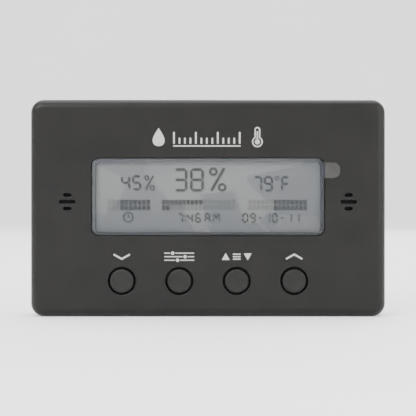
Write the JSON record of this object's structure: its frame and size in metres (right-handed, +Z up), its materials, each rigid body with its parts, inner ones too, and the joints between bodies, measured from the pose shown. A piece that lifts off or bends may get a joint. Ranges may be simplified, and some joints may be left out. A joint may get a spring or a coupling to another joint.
{
  "type": "digital hygrometer",
  "caption": "Pocket digital hygrometer: black case with a wide LCD, round push keys, side sensor vents and a coin cell behind a coin-slot door in the back.",
  "frame": {"origin": "centre of the footprint under the standing instrument, on the plane of its bottom edge", "axes": "+X to the reader's right along the longest side, +Y from the display towards the back, +Z up"},
  "size_m": [0.086, 0.012, 0.0526],
  "materials": {
    "case_plastic": "black ABS with a fine satin texture",
    "key_plastic": "black ABS, slightly duller than the case",
    "lens_acrylic": "clear acrylic, polished",
    "film_clear": "thin cloudy protective film",
    "tape_grey": "grey adhesive tape",
    "lcd_glass": "thin glass with clear electrodes",
    "polariser": "grey polarising film",
    "reflector": "silver grey reflective film",
    "zebra_elastomer": "soft striped elastomer",
    "carrier_plastic": "off-white moulded plastic",
    "silicone": "grey silicone",
    "carbon": "black carbon-filled rubber",
    "board_laminate": "green solder mask over glass-epoxy laminate",
    "epoxy_black": "black epoxy",
    "ceramic_dark": "dark fired ceramic",
    "ceramic_tan": "tan fired ceramic",
    "sensor_white": "white moulded cap",
    "membrane": "dark porous membrane",
    "nickel_plate": "nickel-plated steel",
    "stainless": "stainless steel, bright",
    "lithium": "dull soft metal foil",
    "black_zinc": "black zinc-plated steel"
  },
  "bodies": {
    "case": {"front_housing": "case_plastic", "rear_housing": "case_plastic", "display_lens": "lens_acrylic", "lens_adhesive_frame": "tape_grey", "display_film": "film_clear", "lcd_front_polariser": "polariser", "lcd_front_glass": "lcd_glass", "lcd_rear_glass": "lcd_glass", "lcd_reflector": "reflector", "zebra_connector_upper": "zebra_elastomer", "zebra_connector_lower": "zebra_elastomer", "display_carrier": "carrier_plastic", "keypad_mat": "silicone", "circuit_board": "board_laminate", "controller_glob_top": "epoxy_black", "clock_crystal": "nickel_plate", "resistor_1": "ceramic_dark", "resistor_2": "ceramic_dark", "resistor_3": "ceramic_dark", "capacitor_1": "ceramic_tan", "capacitor_2": "ceramic_tan", "reservoir_capacitor": "ceramic_tan", "humidity_sensor": "sensor_white", "thermistor": "epoxy_black", "vent_membrane_left": "membrane", "vent_membrane_right": "membrane", "battery_contact_negative": "nickel_plate", "battery_contact_positive": "nickel_plate", "coin_cell_can": "stainless", "coin_cell_gasket": "carbon", "coin_cell_cap": "stainless", "coin_cell_anode": "lithium", "coin_cell_cathode": "carbon", "case_screw_1": "black_zinc", "board_screw_1": "nickel_plate", "case_screw_2": "black_zinc", "board_screw_2": "nickel_plate", "case_screw_3": "black_zinc", "board_screw_3": "nickel_plate", "case_screw_4": "black_zinc", "board_screw_4": "nickel_plate"},
    "key_down": {"key_down": "key_plastic", "key_down_pill": "carbon"},
    "key_set": {"key_set": "key_plastic", "key_set_pill": "carbon"},
    "key_recall": {"key_recall": "key_plastic", "key_recall_pill": "carbon"},
    "key_up": {"key_up": "key_plastic", "key_up_pill": "carbon"},
    "door_seal": {"battery_door_seal": "silicone"},
    "door": {"battery_door": "case_plastic"}
  },
  "joints": [
    {"name": "key_down_press", "type": "slide", "parent": "case", "child": "key_down", "axis": [0, 1, 0], "range_m": [0, 0.0008], "stiffness_N_per_m": 600, "deforming": ["keypad_mat"]},
    {"name": "key_set_press", "type": "slide", "parent": "case", "child": "key_set", "axis": [0, 1, 0], "range_m": [0, 0.0008], "stiffness_N_per_m": 600, "deforming": ["keypad_mat"]},
    {"name": "key_recall_press", "type": "slide", "parent": "case", "child": "key_recall", "axis": [0, 1, 0], "range_m": [0, 0.0008], "stiffness_N_per_m": 600, "deforming": ["keypad_mat"]},
    {"name": "key_up_press", "type": "slide", "parent": "case", "child": "key_up", "axis": [0, 1, 0], "range_m": [0, 0.0008], "stiffness_N_per_m": 600, "deforming": ["keypad_mat"]},
    {"name": "door_lift", "type": "slide", "parent": "case", "child": "door_seal", "axis": [0, 1, 0], "range_m": [0, 0.014]},
    {"name": "door_turn", "type": "hinge", "parent": "door_seal", "child": "door", "pos_m": [0, 0.0052, 0.027], "axis": [0, 1, 0], "range_deg": [-40, 0]}
  ]
}
